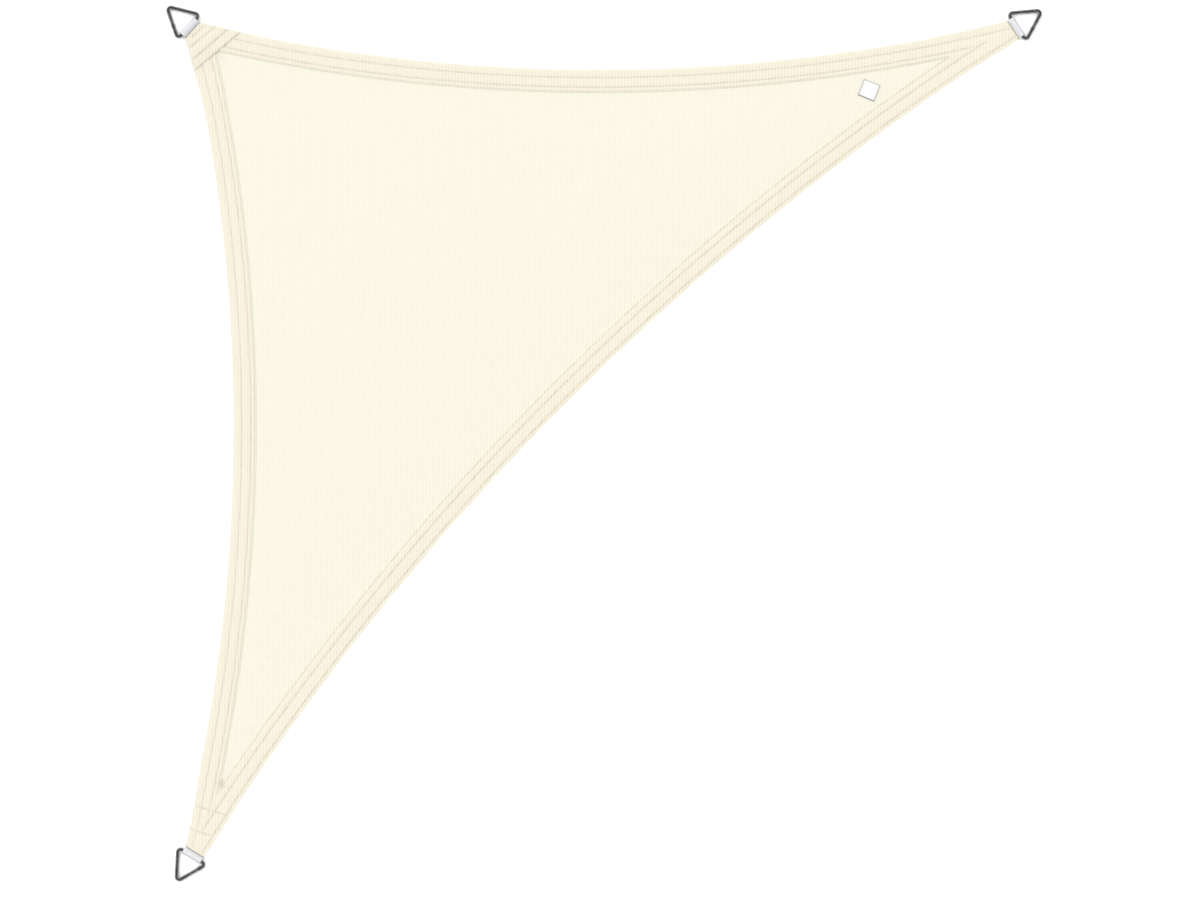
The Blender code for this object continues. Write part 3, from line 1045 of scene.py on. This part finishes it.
knit = {
    "rib": 0.0073,  # every third wale stands a little higher
    "course": 0.0027,
    "sway": 0.0022,  # how far the wales wander
    "panel": (0.631, 0.613, 0.521),
    "hem": (0.622, 0.586, 0.484),
    # colour of the painted shade, with some soil, along the rows of stitches
    "seam": (0.45, 0.41, 0.33),
    "streak": 0.020,  # how much the yarn's tone varies
    "bump": 0.00035,
}


def knitGroup():
    # warp knit: wales along Y, every third one higher, with a zigzag of yarn between them
    group, start, end = newGroup("knit", ("Height", "Ribs", "Holes"),
                                 Rib=knit["rib"], Course=knit["course"])
    place = nodeParts(group, start.outputs["Vector"])
    sway = nodeMath(group, "SUBTRACT", nodeNoise(group, start.outputs["Vector"], 14, 1), 0.5)
    across = nodeMath(group, "MULTIPLY_ADD", sway, knit["sway"], place["X"])
    ribTurn = nodeMath(group, "DIVIDE", across, start.outputs["Rib"])
    courseTurn = nodeMath(group, "DIVIDE", place["Y"], start.outputs["Course"])
    ribs = nodeMath(group, "MULTIPLY_ADD", nodeWave(group, ribTurn, math.tau, "COSINE"), 0.5, 0.5)
    wales = nodeMath(group, "MULTIPLY", ribTurn, 3.0)
    wale = nodeMath(group, "ABSOLUTE", nodeWave(group, wales, math.pi, "COSINE"))
    loops = nodeMath(group, "MULTIPLY_ADD", nodeWave(group, courseTurn, math.tau, "COSINE"), 0.25, 0.75)
    chain = nodeMath(group, "MULTIPLY", nodeMath(group, "SQRT", wale), loops)
    zigzag = nodeMath(group, "PINGPONG", nodeMath(group, "MULTIPLY", courseTurn, 0.5), 0.5)
    zigzag = nodeMath(group, "MULTIPLY", zigzag, 2.0)
    gap = nodeMath(group, "SUBTRACT", nodeMath(group, "FRACT", wales), zigzag)
    yarn = nodeRange(group, nodeMath(group, "ABSOLUTE", gap), 0.08, 0.30, 0.55, 0.0)
    surface = nodeMath(group, "MAXIMUM", chain, yarn)
    height = nodeMath(group, "MULTIPLY_ADD", ribs, 0.5, surface)
    holes = nodeRange(group, surface, 0.18, 0.42, 1.0, 0.0)
    for name, value in (("Height", height), ("Ribs", ribs), ("Holes", holes)):
        group.links.new(value, end.inputs[name])
    return group


def streakGroup():
    # slow changes of tone, drawn out along Y as a warp knit shows them
    group, start, end = newGroup("streaks", ("Tone",))
    long = nodeNoise(group, nodeStretch(group, start.outputs["Vector"], (150, 14, 40)), 1.0, 2)
    broad = nodeNoise(group, start.outputs["Vector"], 9.0, 3)
    grain = nodeNoise(group, nodeStretch(group, start.outputs["Vector"], (420, 170, 200)), 1.0, 1)
    tone = nodeMath(group, "ADD", nodeMath(group, "ADD", long, broad), grain)
    group.links.new(nodeMath(group, "DIVIDE", tone, 3.0), end.inputs["Tone"])
    return group


knitPattern = knitGroup()
streakPattern = streakGroup()


def clothMaterial(name, ribShade):
    material, tree, shader = newMaterial(name, roughness=0.82, specular=0.25)
    place = coordinates(tree, "Object")
    cloth = useGroup(tree, knitPattern, place)
    tone = useGroup(tree, streakPattern, place)["Tone"]
    hemShare = attribute(tree, "hem")
    seamShare = attribute(tree, "seam")
    colour = nodeMix(tree, hemShare, knit["panel"], knit["hem"])
    # painted shade in the furrows between the ribs, stronger on the hems
    furrowShade = nodeRange(tree, hemShare, 0.0, 1.0, ribShade[0], ribShade[1])
    furrow = nodeMath(tree, "SUBTRACT", 1.0, cloth["Ribs"])
    uneven = nodeRange(tree, tone, 0.35, 0.62, 0.3, 1.5)
    shade = nodeMath(tree, "MULTIPLY", nodeMath(tree, "MULTIPLY", furrow, furrowShade), uneven)
    # the holes of the knit a little darker, a painted shadow of the floor under the cloth
    shade = nodeMath(tree, "MULTIPLY_ADD", cloth["Holes"], 0.06, shade)
    shade = nodeMath(tree, "ADD", shade, nodeRange(tree, tone, 0.3, 0.7, knit["streak"], 0.0))
    # darken towards a dark tone by that painted shade, the painted shadow in the holes, and the random
    # streaks of tone
    colour = nodeMix(tree, shade, colour, tuple(0.10 * channel for channel in knit["hem"]))
    # painted shade of the dents along the rows of stitches, with some soil: stronger in the furrows and
    # varying at random along the rows
    pucker = nodeRange(tree, nodeNoise(tree, place, 75, 1), 0.35, 0.65, 0.0, 0.48)
    shadeAndSoil = nodeMath(tree, "MULTIPLY_ADD", furrow, 0.65, pucker)
    colour = nodeMix(tree, nodeMath(tree, "MULTIPLY", seamShare, shadeAndSoil), colour, knit["seam"])
    dress(tree, shader, colour, cloth["Height"], 0.6, knit["bump"])
    return material


def threadMaterial():
    # two strands twisted together
    material, tree, shader = newMaterial("sewingThread", roughness=0.55, specular=0.4)
    place = nodeParts(tree, coordinates(tree, "UV"))
    around = nodeMath(tree, "MULTIPLY", place["Y"], 2.0)
    turn = nodeMath(tree, "MULTIPLY_ADD", place["X"], stitch["twist"], around)
    strand = nodeMath(tree, "ABSOLUTE", nodeWave(tree, turn, math.pi))
    wear = nodeNoise(tree, coordinates(tree, "Object"), 120, 2)
    # lighter on the strands and darker in the grooves between them, a painted shade
    colour = nodeMix(tree, strand, fromScreen(171, 164, 147), fromScreen(211, 205, 189))
    colour = nodeMix(tree, nodeRange(tree, wear, 0.4, 0.75, 0.0, 0.35), colour, fromScreen(180, 173, 157))
    dress(tree, shader, colour, strand, 0.7, 0.00015)
    return material


def webbingMaterial():
    # woven tape: a fine twill of diagonal ridges between two firm edges, with painted shade where it
    # bends round the bar and a painted shadow along the mouth of the cloth
    material, tree, shader = newMaterial("polyesterWebbing", roughness=0.6, specular=0.35)
    place = nodeParts(tree, coordinates(tree, "UV"))
    along, across = place["X"], place["Y"]
    chevron = nodeMath(tree, "PINGPONG", across, webbing["chevron"])
    ridge = nodeWave(tree, nodeMath(tree, "ADD", along, chevron), math.tau / webbing["twill"])
    picks = nodeWave(tree, across, math.tau / webbing["pick"])
    weave = nodeMath(tree, "MULTIPLY_ADD", picks, 0.35, ridge)
    edge = nodeRange(tree, nodeMath(tree, "ABSOLUTE", across), *webbing["selvedge"])
    fuzz = nodeNoise(tree, coordinates(tree, "Object"), 300, 2)
    # lighter on the weave's ridges and darker in its grooves, a painted shade, with random fuzz
    tone = nodeMath(tree, "MULTIPLY_ADD", fuzz, 0.5, nodeRange(tree, weave, -1.2, 1.2))
    pale = nodeRange(tree, tone, 0.2, 1.2)
    colour = nodeMix(tree, pale, fromScreen(176, 177, 181), fromScreen(212, 212, 215))
    colour = nodeMix(tree, nodeMath(tree, "MULTIPLY", edge, 0.5), colour, fromScreen(202, 202, 203))
    fromEnd = nodeMath(tree, "PINGPONG", along, webbing["length"] / 2)
    fromFold = nodeMath(tree, "SUBTRACT", webbing["length"] / 2, fromEnd)
    # painted shade where the webbing bends down round the bar
    foldShade = nodeRange(tree, fromFold, 0.0015, webbing["foldShade"], 0.62, 0.0)
    colour = nodeMix(tree, foldShade, colour, fromScreen(118, 119, 128))
    # a painted shadow along the mouth of the cloth, where the webbing goes in
    fromMouth = nodeMath(tree, "ABSOLUTE", nodeMath(tree, "SUBTRACT", fromEnd, webbing["tail"] + 0.0006))
    mouthShadow = nodeRange(tree, fromMouth, webbing["mouth"] * 0.4, webbing["mouth"], 0.85, 0.0)
    colour = nodeMix(tree, mouthShadow, colour, fromScreen(84, 80, 74))
    dress(tree, shader, colour, weave, 0.55, 0.00018)
    return material


def steelMaterial():
    # polished stainless rod with fine drawing lines and a few handling marks
    material, tree, shader = newMaterial("polishedSteel", roughness=0.18, metallic=1.0, specular=0.5)
    place = coordinates(tree, "Object")
    smear = nodeNoise(tree, place, 90, 4, 0.6)
    marks = nodeNoise(tree, nodeStretch(tree, place, (900, 900, 900)), 1.0, 3, 0.7)
    smear = nodeRange(tree, smear, 0.35, 0.7)
    colour = nodeMix(tree, smear, fromScreen(138, 139, 141), fromScreen(160, 160, 161))
    wear = nodeMath(tree, "MULTIPLY_ADD", marks, 0.5, smear)
    rough = nodeRange(tree, wear, 0.3, 1.3, 0.14, 0.30)
    tree.links.new(rough, shader.inputs["Roughness"])
    dress(tree, shader, colour, marks, 0.12, 0.00008)
    return material


def labelMaterial():
    # smooth coated tape with a thin dark border, and a painted shadow that widens it along the bottom
    material, tree, shader = newMaterial("labelTape", roughness=0.45, specular=0.3)
    place = nodeParts(tree, coordinates(tree, "UV"))
    sides = [nodeMath(tree, "ABSOLUTE", place[axis]) for axis in ("X", "Y")]
    outward = nodeMath(tree, "MAXIMUM", *sides)
    border = nodeRange(tree, outward, *label["border"], 0.0, 0.55)
    # a painted shadow along the bottom edge
    bottom = nodeRange(tree, place["Y"], *label["bottom"], 0.78, 0.0)
    border = nodeMath(tree, "MAXIMUM", border, bottom)
    weft = nodeWave(tree, place["Y"], math.tau / label["weft"])
    soft = nodeNoise(tree, coordinates(tree, "Object"), 60, 2)
    pale = nodeRange(tree, soft, 0.35, 0.65)
    colour = nodeMix(tree, pale, fromScreen(206, 206, 207), fromScreen(212, 212, 212))
    colour = nodeMix(tree, border, colour, fromScreen(88, 88, 91))
    dress(tree, shader, colour, weft, 0.25, 0.00006)
    return material


# the two numbers set how strong the painted shade in the rib furrows is, on the panel and on the hems
clothFinish = clothMaterial("knittedCloth", ribShade=(0.030, 0.062))
threadFinish = threadMaterial()
webbingFinish = webbingMaterial()
steelFinish = steelMaterial()
labelFinish = labelMaterial()
print("finishes made")

cloth = buildCloth(clothFinish)
cornerPatch = buildPatch(clothFinish)
hemThreads = [buildThread(place, rows, threadFinish, side)
              for side in threadFaces for place, rows in sewn.items()]
labelPiece = buildLabel(labelFinish)
labelThread = buildLabelThread(threadFinish)
loops = {name: buildWebbing(name, webbingFinish) for name in corners}
rings = {name: buildRing(name, steelFinish) for name in corners}
print("webbing, rings and label made")


# Floor, sky and lamps.

studio = {
    "floor": 40.0,
    "skyLow": 0.85,  # light from near the horizon
    "skyHigh": 0.15,  # light from above
    "skyTurn": (0.60, 0.75),  # where one gives way to the other, as height on a unit sphere
    "lamps": (  # name, direction, softness in degrees, strength
        ("main", (-5.5, 5.5, 7.0), 90, 3.31),
        ("fill", (5.5, -4.5, 7.0), 100, 1.90),
    ),
}


def floorMaterial():
    material, tree, shader = newMaterial("paleFloor", roughness=0.9, specular=0.1)
    tone = nodeNoise(tree, coordinates(tree, "Object"), 3.0, 2)
    colour = nodeMix(tree, tone, (0.955, 0.955, 0.955), (0.965, 0.965, 0.965))
    tree.links.new(colour, shader.inputs["Base Color"])
    return material


def makeFloor():
    bm = bmesh.new()
    bmesh.ops.create_grid(bm, x_segments=1, y_segments=1, size=studio["floor"] / 2)
    linkMesh(bm, "floor", floorMaterial())


def makeSky():
    world = bpy.data.worlds.new("studio")
    world.use_nodes = True
    tree = world.node_tree
    height = nodeParts(tree, coordinates(tree, "Generated"))["Z"]
    level = nodeRange(tree, height, *studio["skyTurn"], studio["skyLow"], studio["skyHigh"])
    tree.links.new(level, tree.nodes["Background"].inputs["Strength"])
    tree.nodes["Background"].inputs["Color"].default_value = (1, 1, 1, 1)
    bpy.context.scene.world = world


def makeLamp(name, place, softness, strength):
    data = bpy.data.lights.new(name, "SUN")
    data.angle = math.radians(softness)
    data.energy = strength
    lamp = addObject(name, data)
    lamp.location = place
    lamp.rotation_euler = Vector(place).to_track_quat("Z", "Y").to_euler()
    lamp.visible_glossy = False


makeFloor()
makeSky()
for lamp in studio["lamps"]:
    makeLamp(*lamp)
bpy.context.scene.view_settings.view_transform = "Standard"

# What each piece rides on, stands for and takes its finish from.
stands = [(cloth, ["shade_cloth"], "shade_cloth"), (cornerPatch, ["corner_patch"], "shade_cloth"),
          (labelPiece, ["blank_label"], "label"),
          (labelThread, [], "label")]
stands += [(thread, [], "shade_cloth") for thread in hemThreads]
for name in corners:
    stands += [(loops[name], ["webbing_" + name], "webbing"), (rings[name], ["ring_" + name], "steel")]
for piece, nodes, slotName in stands:
    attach(piece, "root")
    if nodes:
        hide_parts(*nodes)
